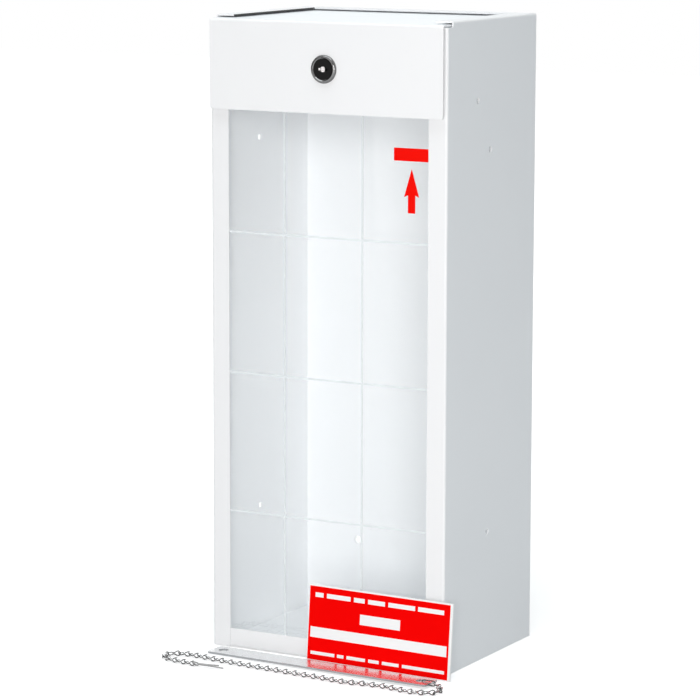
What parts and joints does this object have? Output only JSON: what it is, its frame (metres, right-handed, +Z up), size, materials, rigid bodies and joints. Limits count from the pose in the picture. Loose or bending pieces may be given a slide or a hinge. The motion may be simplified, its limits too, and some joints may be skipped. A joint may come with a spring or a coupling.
{
  "type": "fire extinguisher cabinet",
  "caption": "White steel wall cabinet for a fire extinguisher with a scored clear break-in pane, a slide-off top cover with a cam lock, and a striker bar on a jack chain.",
  "frame": {"origin": "on the floor, below the middle of the cabinet body's width and depth", "axes": "+X to the cabinet's right as seen from the front, +Y towards the wall behind it, +Z up"},
  "size_m": [0.2437, 0.2208, 0.5083],
  "materials": {
    "cabinet_paint": "gloss",
    "clear_pane": "gloss",
    "lock_chrome": "polished",
    "cam_steel": "satin",
    "sign_red": "gloss",
    "bar_steel": "satin",
    "chain_wire": "satin"
  },
  "bodies": {
    "cabinet": {"left_side_panel": "cabinet_paint", "right_side_panel": "cabinet_paint", "back_panel": "cabinet_paint", "bottom_pan": "cabinet_paint", "left_pane_guide": "cabinet_paint", "right_pane_guide": "cabinet_paint", "left_cover_runner": "cabinet_paint", "right_cover_runner": "cabinet_paint", "lock_rail": "cabinet_paint", "break_pane": "clear_pane", "sign_plate": "sign_red", "striker_bar": "bar_steel", "end_link": "chain_wire", "jack_chain": "chain_wire", "split_pin": "chain_wire"},
    "cover": {"cover": "cabinet_paint", "lock_body": "lock_chrome", "lock_nut": "cam_steel"},
    "lock": {"lock_plug": "lock_chrome", "lock_cam": "cam_steel", "cam_screw": "cam_steel"}
  },
  "joints": [
    {"name": "cover_slide", "type": "slide", "parent": "cabinet", "child": "cover", "axis": [0, -1, 0], "range_m": [0, 0.14]},
    {"name": "lock_turn", "type": "hinge", "parent": "cover", "child": "lock", "pos_m": [0, -0.0745, 0.469], "axis": [0, 1, 0], "range_deg": [0, 90]}
  ]
}
